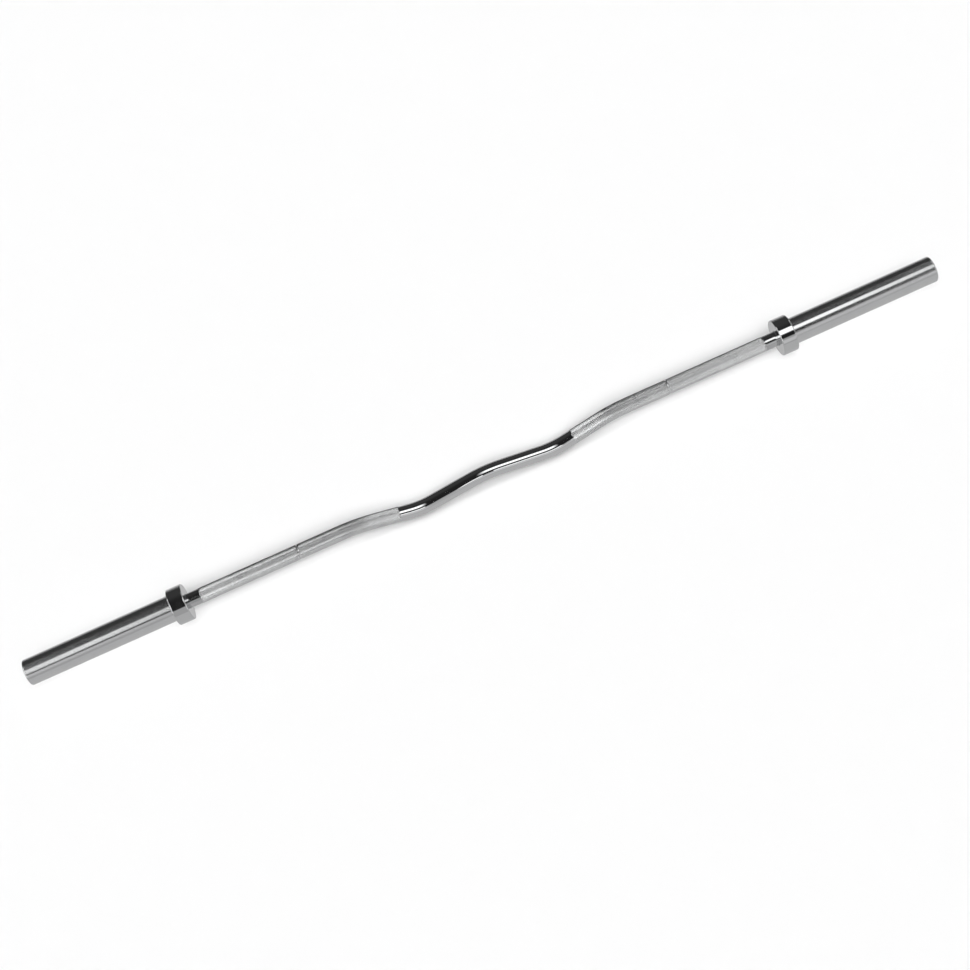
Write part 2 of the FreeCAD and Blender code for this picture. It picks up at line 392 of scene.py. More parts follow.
def break_edges(piece):
    """Round every sharp edge a little."""
    edges = piece.modifiers.new("broken_edges", "BEVEL")
    edges.width = edge_round
    edges.segments = edge_rows
    edges.angle_limit = sharp_angle
    bpy.ops.object.modifier_apply(modifier=edges.name)


def turned_piece(name, outline, side, material):
    """Spin an outline of places and radii about the axis, closed unless it ends on the axis."""
    closing = outline[:1] if outline[-1][1] else []
    corners = [axis + Vector((side * place, 0, radius)) for place, radius in outline + closing]
    piece = spin_round_axis(name, corners)
    break_edges(piece)
    finish_mesh(piece, material)
    map_turning(piece)
    return piece


print("turned pieces have", around_steps, "steps round the axis")

# %% [markdown]
# ## The plate sleeves
# The sleeve is a tube for 50 mm plates. Its spigot goes into the collar, its bore holds the two
# bushes, and a groove near its open end holds the snap ring. All of that shows in a cutaway, so
# the outline goes round the whole wall of the tube and not only round the outside.

# %% The plate sleeves
cap_low, cap_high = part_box("right_end_cap")
ring_low, ring_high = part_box("right_sleeve_snap_ring")
bush_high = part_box("right_outer_bushing")[1]
cap_clearance = 0.0001
flange_clearance = 0.0003
bush_flange_thickness = 0.003
bush_seat_radius = 0.01555
spigot_radius = 0.023
relief_width = 0.0006
sleeve_end_round = 0.0025
cap_bore_radius = cap_high.z - axis_height + cap_clearance
snap_groove_radius = ring_high.y
pocket_radius = bush_high.y + flange_clearance
flange_seat = bush_high.x - bush_flange_thickness

sleeve_outline = [
    (tube_start, bush_seat_radius),
    (tube_start, spigot_radius),
    (collar_back + relief_width, spigot_radius),
    (collar_back + relief_width, sleeve_radius),
    *reversed(rounded_rim(sleeve_end, -1, sleeve_radius, sleeve_end_round)),
    (sleeve_end, cap_bore_radius),
    (ring_high.x, cap_bore_radius),
    (ring_high.x, snap_groove_radius),
    (ring_low.x, snap_groove_radius),
    (ring_low.x, cap_bore_radius),
    (cap_low.x, cap_bore_radius),
    (cap_low.x, pocket_radius),
    (flange_seat, pocket_radius),
    (flange_seat, bush_seat_radius),
]
sides = {"left": -1, "right": 1}
for word, side in sides.items():
    sleeve = turned_piece(word + "_plate_sleeve", sleeve_outline, side, sleeve_chrome)
    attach(sleeve, word + "_sleeve")
    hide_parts(word + "_sleeve_tube")
    print(sleeve.name, len(sleeve.data.polygons), "faces")

# %% [markdown]
# ## The collars
# The collar stops the plates. It is polished all over, and its rounded edges catch the light as
# two thin bright lines. A lip reaches in to the shaft and leaves just enough room to turn.

# %% The collars
collar_edge = 0.0022
bore_chamfer = 0.0024
lip_thickness = 0.006
lip_chamfer = 0.0008
lip_clearance = 0.0006
lip_radius = shaft_radius + lip_clearance

collar_outline = [
    (collar_face, lip_radius + lip_chamfer),
    *rounded_rim(collar_face, 1, collar_radius, collar_edge),
    *reversed(rounded_rim(collar_back, -1, collar_radius, collar_edge)),
    (collar_back, spigot_radius + bore_chamfer),
    (collar_back - bore_chamfer, spigot_radius),
    (tube_start, spigot_radius),
    (tube_start, pocket_radius),
    (collar_face + lip_thickness, pocket_radius),
    (collar_face + lip_thickness, lip_radius),
    (collar_face + lip_chamfer, lip_radius),
]
for word, side in sides.items():
    collar = turned_piece(word + "_stop_collar", collar_outline, side, collar_chrome)
    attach(collar, word + "_sleeve")
    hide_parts(word + "_sleeve_collar")
    print(collar.name, len(collar.data.polygons), "faces")

# %% [markdown]
# ## The end caps
# A turned disc closes the open end of each sleeve. Its face has the fine rings of the lathe and a
# shallow dish in the middle, and a groove round it holds a rubber ring. It is spun like the sleeve,
# but its outline starts and ends on the axis, so the spin closes it at two poles.

# %% The end caps
cap_edge = 0.0006
cap_dish_radius = 0.013
cap_dish_depth = 0.0012
rubber_low, rubber_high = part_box("right_end_cap_o_ring")
groove_room = 0.0002
groove_start = rubber_low.x - groove_room
groove_end = rubber_high.x + groove_room
rubber_section = rubber_high.x - rubber_low.x
rubber_fit = 0.00005
cap_rim = cap_high.z - axis_height
groove_bottom = cap_bore_radius - rubber_section - 2 * rubber_fit

cap_outline = [
    (cap_low.x, 0),
    (cap_low.x, cap_rim - cap_edge),
    (cap_low.x + cap_edge, cap_rim),
    (groove_start, cap_rim),
    (groove_start, groove_bottom),
    (groove_end, groove_bottom),
    (groove_end, cap_rim),
    (cap_high.x - cap_edge, cap_rim),
    (cap_high.x, cap_rim - cap_edge),
    (cap_high.x, cap_dish_radius),
    (cap_high.x - cap_dish_depth, cap_dish_radius - cap_dish_depth),
    (cap_high.x - cap_dish_depth, 0),
]
for word, side in sides.items():
    cap = turned_piece(word + "_turned_cap", cap_outline, side, cap_steel)
    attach(cap, word + "_sleeve")
    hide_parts(word + "_end_cap")
    print(cap.name, len(cap.data.polygons), "faces")

# %% [markdown]
# ## The bent shaft
# A bending machine makes the W from one straight bar: it feeds a straight run, turns the bar about
# a former, and feeds again. The spin operator is that former. One ring of vertices starts in the
# middle of the bar, runs and bends its way out to the right, and a mirror makes the other half.

# %% The route of the shaft
plain_run_past_valley = 0.019
plain_run_at_collar = 0.026
ring_mark_run_past_bend = 0.082
ring_mark_width = 0.0025
shoulder_past_lip = 0.001
shaft_shoulder = collar_face + lip_thickness + shoulder_past_lip

valley_turn = inner_slope + outer_slope
valley_arc_reach = valley_bend_radius * math.tan(valley_turn / 2)
inner_run = (
    valley_half_spacing / math.cos(inner_slope)
    - centre_bend_radius * math.tan(inner_slope)
    - valley_arc_reach
)
outer_run = (
    (outer_corner_place - valley_half_spacing) / math.cos(outer_slope)
    - valley_arc_reach
    - outer_bend_radius * math.tan(outer_slope / 2)
)
outer_bend_end = outer_corner_place + outer_bend_radius * math.tan(outer_slope / 2)
ring_mark_place = outer_bend_end + ring_mark_run_past_bend
knurl_end_place = collar_face - plain_run_at_collar
print("straight runs of the W:", round(inner_run, 4), "and", round(outer_run, 4), "m")

# %% Helpers that run and bend the ring
bar_columns = 128
bend_step = math.radians(0.5)
fewest_bend_steps = 2


def facing(heading):
    """The direction square to the heading, on the side that the valleys lie."""
    return bend_axis.cross(heading)


def run(state, length):
    """Extrude the ring straight ahead."""
    point, heading = state
    bpy.ops.mesh.extrude_region_move(TRANSFORM_OT_translate={"value": heading * length})
    return point + heading * length, heading


def bend(state, radius, turn):
    """Spin the ring about a former of this radius. A positive turn goes down to the valleys."""
    point, heading = state
    former = point + facing(heading) * math.copysign(radius, turn)
    steps = max(fewest_bend_steps, round(abs(turn) / bend_step))
    bpy.ops.mesh.spin(steps=steps, angle=-turn, center=former, axis=bend_axis)
    swing = Matrix.Rotation(turn, 3, bend_axis)
    return former + swing @ (point - former), swing @ heading


def turn_down(state, share):
    """Scale the ring about the middle of the bar, as a lathe takes the bar to another size."""
    bpy.ops.transform.resize(value=(share, share, share), center_override=state[0])


def ring_centre(piece):
    """The middle of the ring that is selected now."""
    piece.update_from_editmode()
    chosen = [vertex.co for vertex in piece.data.vertices if vertex.select]
    return sum(chosen, Vector()) / len(chosen)


print("one ring of", bar_columns, "vertices will be run and bent")

# %% The shaft's bends
knurl_sink = 0.0003
run_out = 0.001
knurl_root_radius = shaft_radius - knurl_sink

bpy.ops.mesh.primitive_circle_add(
    vertices=bar_columns,
    radius=shaft_radius,
    location=middle,
    rotation=(0, math.pi / 2, 0),
)
bar = bpy.context.object
bar.name = "bent_shaft"
bpy.ops.object.transform_apply(location=True, rotation=True, scale=True)
bpy.ops.object.mode_set(mode="EDIT")
bpy.ops.mesh.select_all(action="SELECT")
state = (middle, along)
state = bend(state, centre_bend_radius, inner_slope)
state = run(state, inner_run)
state = bend(state, valley_bend_radius, -valley_turn)
state = run(state, plain_run_past_valley)
knurl_start = state
state = run(state, run_out)
turn_down(state, knurl_root_radius / shaft_radius)
state = run(state, outer_run - plain_run_past_valley - run_out)
state = bend(state, outer_bend_radius, outer_slope)
print("the ring has reached", ring_centre(bar), "and should be at", state[0])

# %% [markdown]
# ## The straight end of the shaft
# Past the bends the bar is turned: the ring mark, the plain band, a shoulder, the journal that runs
# in the bushes, and a groove for the circlip. The ring runs to each place and takes its new radius.
# At a square step it is first extruded on the spot, and at a slope it isn't.

# %% The shaft's straight end
ring_mark_depth = 0.0005
journal_step = 0.0015
circlip_groove_depth = 0.00055
end_chamfer = 0.0015
seam_weld = 0.00001
circlip_low, circlip_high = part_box("right_shaft_circlip")
ring_mark_radius = shaft_radius - ring_mark_depth
journal_radius = shaft_radius - journal_step
circlip_groove_radius = journal_radius - circlip_groove_depth

shaft_steps = [
    (ring_mark_place - ring_mark_width / 2, ring_mark_radius),
    (ring_mark_place + ring_mark_width / 2, knurl_root_radius),
    (knurl_end_place, knurl_root_radius),
    (knurl_end_place + run_out, shaft_radius),
    (shaft_shoulder, journal_radius),
    (circlip_low.x, circlip_groove_radius),
    (circlip_high.x, journal_radius),
    (shaft_end - end_chamfer, journal_radius),
    (shaft_end, journal_radius - end_chamfer),
]
sloped_places = (knurl_end_place + run_out, shaft_end)
radius_now = knurl_root_radius
for place, radius in shaft_steps:
    state = run(state, place - state[0].x)
    if place not in sloped_places and radius != radius_now:
        state = run(state, 0)
    turn_down(state, radius / radius_now)
    radius_now = radius
bpy.ops.mesh.edge_face_add()
bpy.ops.mesh.select_all(action="SELECT")
bpy.ops.mesh.normals_make_consistent(inside=False)
bpy.ops.object.mode_set(mode="OBJECT")
other_half = bar.modifiers.new("other_half", "MIRROR")
other_half.merge_threshold = seam_weld
bpy.ops.object.modifier_apply(modifier=other_half.name)
finish_mesh(bar, shaft_chrome)
print("both halves of the bar have", len(bar.data.vertices), "vertices")

# %% [markdown]
# ## Three finishes on one bar, two with painted light
# A buffing wheel brings the W to a mirror. It reaches the short plain band beside each collar less
# well, so that stays a little duller, and its darker grey is painted shade: the shaded floor beside
# the collar, which the band mirrors. The floor of the narrow ring mark stays satin, and its lighter
# grey is a painted sheen, the light that a rounded groove would catch from the side lights.
# One mesh can hold all three: each face only has to know the number of its material.

# %% The bands and the ring marks
bar_finishes = bar.data.materials
bar_finishes.append(band_chrome_painted_shade)
band_number = bar_finishes.find(band_chrome_painted_shade.name)
bar_finishes.append(mark_chrome_painted_sheen)
mark_number = bar_finishes.find(mark_chrome_painted_sheen.name)
for face in bar.data.polygons:
    place = abs(face.center.x)
    if place > knurl_end_place:
        face.material_index = band_number
    elif abs(place - ring_mark_place) < ring_mark_width:
        face.material_index = mark_number
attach(bar, "bar")
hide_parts("shaft")
print(bar.name, len(bar.data.polygons), "faces")

# %% [markdown]
# ## The knurl
# A knurling wheel rolls two sets of crossing grooves into the grip and leaves small pyramids
# between them. Thousands of equal pyramids are quicker by formula than by hand: a grid follows
# the bar, every second vertex is a crest, and the vertices between are where two grooves cross.

# %% The rings of the knurl
groove_spacing = 0.001
groove_angle = math.radians(21)
pyramid_width = groove_spacing / math.cos(groove_angle)
pyramid_length = groove_spacing / math.sin(groove_angle)
columns = 2 * round(math.tau * shaft_radius / pyramid_width)


def along_bar(distance):
    """Point and heading on the bar, this far past the start of the knurl."""
    point, heading = knurl_start
    before_bend = outer_run - plain_run_past_valley
    point = point + heading * min(distance, before_bend)
    turn = min(max(distance - before_bend, 0) / outer_bend_radius, outer_slope)
    former = point + facing(heading) * outer_bend_radius
    swing = Matrix.Rotation(turn, 3, bend_axis)
    point = former + swing @ (point - former)
    heading = swing @ heading
    past_bend = distance - before_bend - outer_bend_radius * outer_slope
    return point + heading * max(past_bend, 0), heading


def knurl_ring(distance, radii, side):
    """One ring of vertices round the bar, with the radii taken in turn."""
    point, heading = along_bar(distance)
    ring = []
    for column in range(columns):
        angle = math.tau * column / columns
        outward = facing(heading) * math.cos(angle) + bend_axis * math.sin(angle)
        spot = point + outward * radii[column % 2]
        ring.append((side * spot.x, spot.y, spot.z))
    return ring


print("the knurl has", columns, "columns of vertices round the bar")

# %% [markdown]
# ## A stretch of knurl
# Each stretch is a closed shell: pyramids outside, and a plain lining below them that lies hidden
# in the shaft. The pyramids fade out at both ends of a stretch, as the wheel is lifted off slowly.
# Each square of the grid is split between its two low corners, so that the grooves run through.

# %% Helpers for a stretch of knurl
knurl_crest = 0.0001
knurl_depth = 0.00026
knurl_under = 0.0006
lining_rows = 24


def knurl_faces(ring_count):
    """Triangles between neighbouring rings, and between the last ring and the first."""
    faces = []
    for row in range(ring_count):
        next_row = (row + 1) % ring_count
        for column in range(columns):
            next_column = (column + 1) % columns
            a = row * columns + column
            b = row * columns + next_column
            c = next_row * columns + next_column
            d = next_row * columns + column
            if (row + 1 + column) % 2:
                faces += [(a, b, d), (b, c, d)]
            else:
                faces += [(a, b, c), (a, c, d)]
    return faces


def mark_crests(mesh, reliefs):
    """Write the height of every vertex as an attribute: one on a crest, less in a groove."""
    heights = mesh.attributes.new("crest", "FLOAT", "POINT")
    for row, relief in enumerate(reliefs):
        for column in range(columns):
            in_groove = (row + column + 1) % 2
            heights.data[(row + 1) * columns + column].value = 1 - in_groove * relief


def add_piece(name, mesh, material):
    """An object for a mesh that was made by formula, with its normals facing out."""
    piece = bpy.data.objects.new(name, mesh)
    bpy.context.collection.objects.link(piece)
    piece.select_set(True)
    bpy.context.view_layer.objects.active = piece
    bpy.ops.object.mode_set(mode="EDIT")
    bpy.ops.mesh.select_all(action="SELECT")
    bpy.ops.mesh.normals_make_consistent(inside=False)
    bpy.ops.object.mode_set(mode="OBJECT")
    mesh.materials.append(material)
    bpy.ops.object.select_all(action="DESELECT")
    return piece


def knurled_stretch(name, start, end, fades, side, material):
    """A closed shell of pyramids from start to end along the bar, which fade out at both ends."""
    rows = 2 * round((end - start) / pyramid_length)
    lining = (shaft_radius - knurl_under, shaft_radius - knurl_under)
    rings = [knurl_ring(start, lining, side)]
    reliefs = []
    for row in range(rows + 1):
        distance = start + (end - start) * row / rows
        relief = min(1, (distance - start) / fades[0], (end - distance) / fades[1])
        crest = shaft_radius + knurl_crest * relief
        groove = crest - knurl_depth * relief
        radii = (crest, groove) if row % 2 else (groove, crest)
        rings.append(knurl_ring(distance, radii, side))
        reliefs.append(relief)
    for row in range(lining_rows):
        rings.append(knurl_ring(end + (start - end) * row / lining_rows, lining, side))
    mesh = bpy.data.meshes.new(name)
    mesh.from_pydata([spot for ring in rings for spot in ring], [], knurl_faces(len(rings)))
    mark_crests(mesh, reliefs)
    return add_piece(name, mesh, material)


print("one pyramid is", round(pyramid_length * 1000, 2), "mm long")

# %% [markdown]
# ## The finish of the knurl
# Hands polish the crests and leave a dull film down in the grooves. The knurl knows its own heights
# by the attribute `crest`, so the finish can follow each pyramid: bright and glossy on top, darker
# and duller at the foot, with a little noise so that no two patches are alike.

# %% Knurled chrome
groove_roughness = (0.27, 0.33)
crest_roughness = (0.13, 0.18)
groove_grey = chrome_grey(0.63)
crest_grey = chrome_grey(0.76)
knurl_film_scale = 60


def knurled_chrome(name):
    """Chrome that is brighter and glossier on the crests than in the grooves."""
    material, tree, shader = new_material(name)
    shader.inputs["Metallic"].default_value = 1.0
    crest = tree.nodes.new("ShaderNodeAttribute")
    crest.attribute_name = "crest"
    film = noise(tree, knurl_film_scale, stretch=film_stretch, detail=film_detail)
    dull = spread(tree, film, *groove_roughness)
    glossy = spread(tree, film, *crest_roughness)
    roughness = tree.nodes.new("ShaderNodeMix")
    tree.links.new(crest.outputs["Fac"], roughness.inputs["Factor"])
    tree.links.new(dull, roughness.inputs["A"])
    tree.links.new(glossy, roughness.inputs["B"])
    tree.links.new(roughness.outputs["Result"], shader.inputs["Roughness"])
    tint = shade_between(tree, crest.outputs["Fac"], groove_grey, crest_grey)
    tree.links.new(tint, shader.inputs["Base Color"])
    return material


knurl_chrome = knurled_chrome("knurl_chrome")
print("finish of the knurl:", knurl_chrome.name)

# %% [markdown]
# ## The knurled grips
# Each grip is two stretches of knurl with the ring mark between them. The mark shows where to place
# the hands, so the pyramids fade more quickly there than at the ends of the grip.

# %% The knurled grips
knurl_fade = 0.002
mark_fade = 0.001
knurl_length = (
    outer_run - plain_run_past_valley
    + outer_bend_radius * outer_slope
    + knurl_end_place - outer_bend_end
)
mark_distance = knurl_length - (knurl_end_place - ring_mark_place)
stretches = {
    "inner": (0, mark_distance - ring_mark_width / 2, (knurl_fade, mark_fade)),
    "outer": (mark_distance + ring_mark_width / 2, knurl_length, (mark_fade, knurl_fade)),
}
for word, side in sides.items():
    for part, (start, end, fades) in stretches.items():
        knurl = knurled_stretch(word + "_" + part + "_knurl", start, end, fades, side, knurl_chrome)
        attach(knurl, "bar")
        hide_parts("shaft")
        print(knurl.name, len(knurl.data.polygons), "triangles")

# %% [markdown]
# ## The pieces inside the sleeves
# Bushes, washers, retaining rings and rubber rings keep their CAD shapes, because flat faces and
# round edges are all that they have. They only need the finish of their material: porous bronze,
# ground steel, blackened spring steel and matt rubber, each drawn with noise at its own scale.

# %% Finishes of the inner pieces
def worked_metal(name, dark, light, rough_low, rough_high, grain, depth):
    """A metal whose shade, gloss and surface follow one noise of the given grain."""
    material, tree, shader = new_material(name)
    shader.inputs["Metallic"].default_value = 1.0
    patches = noise(tree, grain, detail=6.0)
    shade = shade_between(tree, spread(tree, patches, 0, 1), dark, light)
    tree.links.new(shade, shader.inputs["Base Color"])
    tree.links.new(spread(tree, patches, rough_low, rough_high), shader.inputs["Roughness"])
    tree.links.new(bump(tree, patches, depth), shader.inputs["Normal"])
    return material


def matt_rubber(name, clean, dusty, rough_low, rough_high, grain, depth):
    """Rubber, which isn't a metal, with dust in its pores."""
    material, tree, shader = new_material(name)
    dust = noise(tree, grain, detail=4.0)
    shade = shade_between(tree, spread(tree, dust, 0, 1), clean, dusty)
    tree.links.new(shade, shader.inputs["Base Color"])
    tree.links.new(spread(tree, dust, rough_low, rough_high), shader.inputs["Roughness"])
    tree.links.new(bump(tree, dust, depth), shader.inputs["Normal"])
    return material


bush_bronze = worked_metal(
    "bush_bronze_porous",
    dark=(0.36, 0.20, 0.08, 1),
    light=(0.62, 0.40, 0.19, 1),
    rough_low=0.28,
    rough_high=0.5,
    grain=1400,
    depth=0.00004,
)
washer_steel = worked_metal(
    "washer_steel_ground",
    dark=(0.42, 0.42, 0.42, 1),
    light=(0.58, 0.58, 0.57, 1),
    rough_low=0.2,
    rough_high=0.36,
    grain=700,
    depth=0.00001,
)
spring_steel = worked_metal(
    "spring_steel_blackened",
    dark=(0.035, 0.033, 0.032, 1),
    light=(0.11, 0.105, 0.10, 1),
    rough_low=0.3,
    rough_high=0.48,
    grain=500,
    depth=0.00002,
)
cap_rubber = matt_rubber(
    "cap_rubber_matt",
    clean=(0.012, 0.012, 0.013, 1),
    dusty=(0.035, 0.034, 0.033, 1),
    rough_low=0.55,
    rough_high=0.75,
    grain=900,
    depth=0.00003,
)
for finish in (bush_bronze, washer_steel, spring_steel, cap_rubber):
    print("finish:", finish.name)

# %% The inner pieces
finishes = {
    "inner_bushing": bush_bronze,
    "outer_bushing": bush_bronze,
    "inner_thrust_washer": washer_steel,
    "outer_thrust_washer": washer_steel,
    "shaft_circlip": spring_steel,
    "sleeve_snap_ring": spring_steel,
    "end_cap_o_ring": cap_rubber,
}
for word in sides:
    for node_name, finish in finishes.items():
        node = frame["nodes"][word + "_" + node_name]
        for slot in node.material_slots:
            slot.material = finish
print("finished", len(sides) * len(finishes), "inner pieces")

# %% [markdown]
# ## The floor
# The bar lies on pale paper, so wide that its edge never shows. It is matt, which keeps it plain
# and lets the soft shadow be the only thing that grounds the bar.

# %% The floor
floor_size = 40
floor_grey = (0.9, 0.9, 0.9, 1)
bpy.ops.mesh.primitive_plane_add(size=floor_size, location=(0, 0, 0))
floor = bpy.context.object
floor.name = "studio_floor"
material, tree, shader = new_material("pale_floor")
shader.inputs["Base Color"].default_value = floor_grey
shader.inputs["Roughness"].default_value = 1.0
shader.inputs["Specular IOR Level"].default_value = 0.0
floor.data.materials.append(material)
print("floor:", floor.name)

# %% [markdown]
# ## The floor in the mirror, a painted reflection
# Chrome mirrors the floor too. Photographers lay a dark cloth behind a chrome piece, so that its
# far edge mirrors dark and stands out from the paper. Here the cloth is painted, and only mirrored
# rays see it: to them the floor glows as a painted reflection, an even grey that no light or shadow
# changes, and dark from a little way behind the bar.

# %% The floor in the mirror
cloth_near_edge = (0.22, 0.38)
cloth_far_edge = (1.5, 3.0)
painted_paper_grey = (0.6, 0.6, 0.6, 1)
painted_cloth_grey = (0.08, 0.08, 0.08, 1)


def ramp(tree, value, start, end):
    """A straight ramp from nought at the start to one at the end."""
    node = tree.nodes.new("ShaderNodeMapRange")
    node.inputs["From Min"].default_value = start
    node.inputs["From Max"].default_value = end
    tree.links.new(value, node.inputs["Value"])
    return node.outputs["Result"]


spot = tree.nodes.new("ShaderNodeTexCoord")
towards_back = tree.nodes.new("ShaderNodeSeparateXYZ")
tree.links.new(spot.outputs["Object"], towards_back.inputs["Vector"])
cloth = tree.nodes.new("ShaderNodeMath")
cloth.operation = "SUBTRACT"
for edge, socket in zip((cloth_near_edge, cloth_far_edge), cloth.inputs):
    tree.links.new(ramp(tree, towards_back.outputs["Y"], *edge), socket)
# The floor glows for mirrored rays: a painted reflection, grey in front and a painted dark cloth
# behind the bar.
painted_floor_reflection = tree.nodes.new("ShaderNodeEmission")
painted_reflection_grey = shade_between(tree, cloth.outputs["Value"], painted_paper_grey, painted_cloth_grey)
tree.links.new(painted_reflection_grey, painted_floor_reflection.inputs["Color"])
mix = tree.nodes.new("ShaderNodeMixShader")
path = tree.nodes.new("ShaderNodeLightPath")
tree.links.new(path.outputs["Is Glossy Ray"], mix.inputs["Fac"])
tree.links.new(shader.outputs["BSDF"], mix.inputs[1])
tree.links.new(painted_floor_reflection.outputs["Emission"], mix.inputs[2])
tree.links.new(mix.outputs["Shader"], tree.nodes["Material Output"].inputs["Surface"])
print("mirrored rays see the floor in", len(tree.nodes), "nodes")

# %% [markdown]
# ## Reflector cards
# Two small bright cards hang in front of the grip and above it. The polished W mirrors them as
# white lines that come and go with its bends. Only mirrored rays see the cards: they aren't in the
# picture, they leave the floor as it is, and they throw no shadow.

# %% Reflector cards for the middle of the grip
card_reach = 0.9
card_over = math.radians(38)
card_height = 0.19
card_light = 1.35
card_spans = {"left": (-0.145, -0.005), "right": (0.1, 0.33)}

for word, (card_start, card_end) in card_spans.items():
    card_middle = Vector((
        (card_start + card_end) / 2,
        -card_reach * math.cos(card_over),
        middle.z + card_reach * math.sin(card_over),
    ))
    card_tilt = (math.pi / 2 - card_over, 0, 0)
    bpy.ops.mesh.primitive_plane_add(size=1, location=card_middle, rotation=card_tilt)
    reflector = bpy.context.object
    reflector.name = word + "_reflector"
    reflector.scale = (card_end - card_start, card_height, 1)
    bpy.ops.object.transform_apply(location=True, rotation=True, scale=True)
    reflector.visible_camera = False
    reflector.visible_diffuse = False
    reflector.visible_shadow = False
    material, tree, shader = new_material(reflector.name)
    shader.inputs["Base Color"].default_value = (0, 0, 0, 1)
    shader.inputs["Emission Color"].default_value = (1, 1, 1, 1)
    shader.inputs["Emission Strength"].default_value = card_light
    reflector.data.materials.append(material)
    print(reflector.name, "at", [round(c, 3) for c in card_middle])

# %% [markdown]
# ## A flag for the shadow
# A flag is a black strip that a photographer holds in the way of a light. This one follows the W
# on its front side, widest at the valleys. They lie too low to throw a long shadow of their own,
# and the flag makes it as soft and wide there as under the straight grips. Only the lights see it.

# %% A flag for the shadow of the W
flag_height = 0.02
flag_forward = 0.022
flag_rows = 60
# Both tables start with a place along the bar: the flag's width there, and the bar's own reach.
flag_widths = {
    0: 0.0056,
    0.07: 0.0063,
    valley_half_spacing: 0.0099,
    0.19: 0.005,
    0.24: 0.0022,
    0.3: 0,
}
flag_end = max(flag_widths)
bar_reach = {0: -down.y * middle_depth, valley_half_spacing: valley_reach, outer_corner_place: 0}


def between(table, place):
    """A value read from a table of places, straight between its entries."""
    places = sorted(table)
    for start, end in zip(places, places[1:]):
        if place <= end:
            share = (place - start) / (end - start)
            return table[start] + (table[end] - table[start]) * share
    return table[places[-1]]


bpy.ops.mesh.primitive_grid_add(x_subdivisions=flag_rows, y_subdivisions=1, size=2)
flag = bpy.context.object
flag.name = "shadow_flag"
for vertex in flag.data.vertices:
    place = vertex.co.x * flag_end
    forward = flag_forward + between(bar_reach, abs(place))
    width = between(flag_widths, abs(place))
    vertex.co = (place, vertex.co.y * width / 2 - forward, flag_height)
flag.visible_camera = False
flag.visible_diffuse = False
flag.visible_glossy = False
material, tree, shader = new_material("black_flag")
shader.inputs["Base Color"].default_value = (0, 0, 0, 1)
flag.data.materials.append(material)
print("flag:", flag.name, len(flag.data.polygons), "faces")

# %% [markdown]
# ## The soft lights
# Three wide lights shine from the camera's side. They light the floor alone, because the chrome
# doesn't mirror them. Each light is told which pieces shade it: the grip stands clear of the floor
# and throws the wide soft shadow, while the sleeves only add a faint one.

# %% The soft lights on the floor
grip_pieces = [bar] + [piece for piece in bpy.data.objects if piece.name.endswith("_knurl")]
sleeve_pieces = [piece for piece in bpy.data.objects if piece.name.endswith("_plate_sleeve")]


def soft_light(name, elevation, width, energy, casters):
    """A wide even light from the camera's side, which only the casters shade."""
    bpy.ops.object.light_add(type="SUN", rotation=(math.pi / 2 - math.radians(elevation), 0, 0))
    light = bpy.context.object
    light.name = name
    light.data.angle = math.radians(width)
    light.data.energy = energy
    light.visible_glossy = False
    shaded_by = bpy.data.collections.new(name + "_casters")
    for piece in casters:
        shaded_by.objects.link(piece)
    light.light_linking.blocker_collection = shaded_by
    print("soft light:", light.name, "shaded by", len(casters), "pieces")


grip_casters = grip_pieces + [flag]
all_casters = grip_pieces + sleeve_pieces
soft_light("light_beside_lens", elevation=57, width=42, energy=2.24, casters=grip_casters)
soft_light("light_above_grip", elevation=70, width=72, energy=1.05, casters=grip_casters)
soft_light("light_above_all", elevation=70, width=72, energy=0.5, casters=all_casters)

# %% [markdown]
# ## The room
# Chrome has hardly any colour of its own: it shows the room. The room is drawn in the world's
# nodes, by two angles in degrees. One goes over the bar from the front to the back, and the other
# goes sideways along it. A few small helpers put the sums into nodes.

# %% Helpers that draw the room
world = bpy.data.worlds.new("studio")
bpy.context.scene.world = world
world.use_nodes = True
room_tree = world.node_tree
room_tree.nodes.clear()


def math_node(operation, first, second=None):
    """One sum in nodes, with one value or two. Each is a number or comes from another node."""
    node = room_tree.nodes.new("ShaderNodeMath")
    node.operation = operation
    for socket, value in zip(node.inputs, (first, second)):
        if isinstance(value, (int, float)):
            socket.default_value = value
        elif value is not None:
            room_tree.links.new(value, socket)
    return node.outputs["Value"]


def soft_step(value, start, end):
    """A soft step from nought at the start to one at the end."""
    node = room_tree.nodes.new("ShaderNodeMapRange")
    node.interpolation_type = "SMOOTHSTEP"
    node.inputs["From Min"].default_value = start
    node.inputs["From Max"].default_value = end
    room_tree.links.new(value, node.inputs["Value"])
    return node.outputs["Result"]


def window(value, low, high, low_soft, high_soft):
    """One between low and high, nought outside, with soft edges."""
    rise = soft_step(value, low - low_soft, low + low_soft)
    fall = soft_step(value, high - high_soft, high + high_soft)
    return math_node("SUBTRACT", rise, fall)


def softbox(brightness, over_window, sideways_window):
    """A window of light in the room, given by its reach over the bar and along it."""
    area = math_node("MULTIPLY", window(over, *over_window), window(sideways, *sideways_window))
    return math_node("MULTIPLY", area, brightness)


direction = room_tree.nodes.new("ShaderNodeSeparateXYZ")
outlook = room_tree.nodes.new("ShaderNodeTexCoord")
room_tree.links.new(outlook.outputs["Generated"], direction.inputs["Vector"])
to_front = math_node("MULTIPLY", direction.outputs["Y"], -1)
over = math_node("DEGREES", math_node("ARCTAN2", direction.outputs["Z"], to_front))
sideways = math_node("DEGREES", math_node("ARCSINE", direction.outputs["X"]))
print("the room starts with", len(room_tree.nodes), "nodes for its two angles")

# %% [markdown]
# ## Bands and softboxes
# Three bands run over the bar: a grey front, the dark slot where the camera stands, and a dark
# ceiling. Softboxes are windows of light in those bands. Each has its brightness, and then its low
# edge, its high edge and the softness of both, first over the bar and then sideways along it.

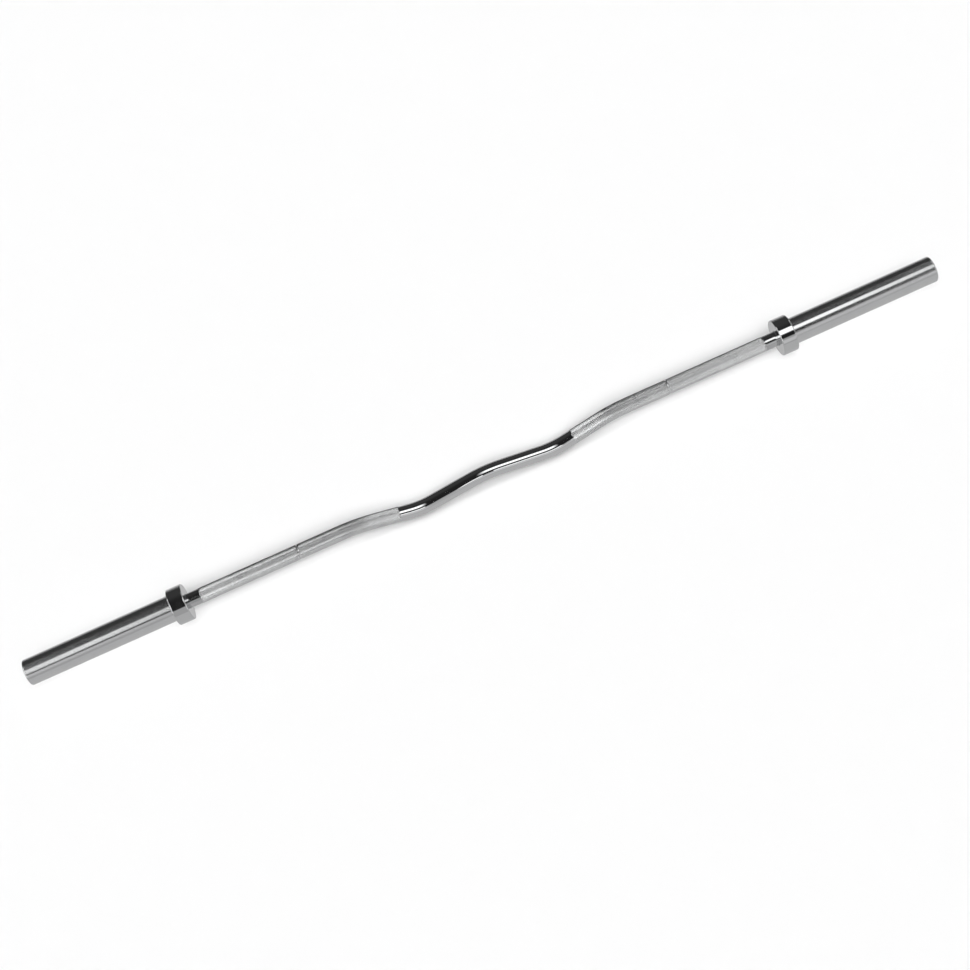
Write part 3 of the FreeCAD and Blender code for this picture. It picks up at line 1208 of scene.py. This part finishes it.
# %% The room that the chrome mirrors
dark_slot = 0.02
dark_ceiling = 0.05
grey_front = 0.48
front_ends = (35, 42)
ceiling_starts = (85, 130)
all_round = (-400, 400, 1, 1)
softboxes = {
    "overhead": (2.0, (65.5, 92, 5, 4), (-0.5, 18, 4.5, 1.8)),
    "overhead strip": (3.6, (51, 83, 5, 5), (-15.5, -12.4, 1.5, 0.5)),
    "front": (0.26, (7, 28, 5, 4), (-3, 17, 4, 4)),
    "front strip": (0.3, (18, 35, 4, 4), (-18, -11.8, 3, 0.5)),
    "left flank": (3.7, (26, 133, 8, 8), (-41, -28, 4, 4)),
    "right flank": (3.0, (16, 140, 8, 8), (29, 37, 3, 3)),
    "left side": (1.1, (58, 98, 8, 8), (-74, -52, 5, 5)),
    "right side": (1.1, (58, 98, 8, 8), (50, 74, 5, 5)),
    "left end": (0.45, all_round, (-120, -76, 1, 6)),
    "right end": (0.45, all_round, (76, 120, 6, 1)),
}

before_slot = math_node("SUBTRACT", 1, soft_step(over, *front_ends))
front = math_node("MULTIPLY", before_slot, grey_front - dark_slot)
ceiling = math_node("MULTIPLY", soft_step(over, *ceiling_starts), dark_ceiling - dark_slot)
room = math_node("ADD", math_node("ADD", front, ceiling), dark_slot)
for settings in softboxes.values():
    room = math_node("ADD", room, softbox(*settings))
print("the room is drawn in", len(room_tree.nodes), "nodes with", len(softboxes), "softboxes")

# %% [markdown]
# ## What each kind of ray sees
# The camera sees white paper wherever the floor ends, mirrored rays see the room, and all the rest
# get a faint even light. So the room can be as dark as the chrome needs, and the floor stays pale.

# %% What each kind of ray sees
white = (1, 1, 1, 1)
faint = (0.04, 0.04, 0.04, 1)


def choose(light_path, ray, otherwise, when_so):
    """A shader that is one thing for this kind of ray, and another for the rest."""
    node = room_tree.nodes.new("ShaderNodeMixShader")
    room_tree.links.new(light_path.outputs[ray], node.inputs["Fac"])
    room_tree.links.new(otherwise, node.inputs[1])
    room_tree.links.new(when_so, node.inputs[2])
    return node.outputs["Shader"]


room_light = room_tree.nodes.new("ShaderNodeBackground")
room_tree.links.new(room, room_light.inputs["Color"])
paper = room_tree.nodes.new("ShaderNodeBackground")
paper.inputs["Color"].default_value = white
ambient = room_tree.nodes.new("ShaderNodeBackground")
ambient.inputs["Color"].default_value = faint
room_path = room_tree.nodes.new("ShaderNodeLightPath")
unseen = choose(
    room_path,
    "Is Glossy Ray",
    otherwise=ambient.outputs["Background"],
    when_so=room_light.outputs["Background"],
)
seen = choose(
    room_path,
    "Is Camera Ray",
    otherwise=unseen,
    when_so=paper.outputs["Background"],
)
world_output = room_tree.nodes.new("ShaderNodeOutputWorld")
room_tree.links.new(seen, world_output.inputs["Surface"])
bpy.context.scene.view_settings.view_transform = "Standard"
print("studio done")
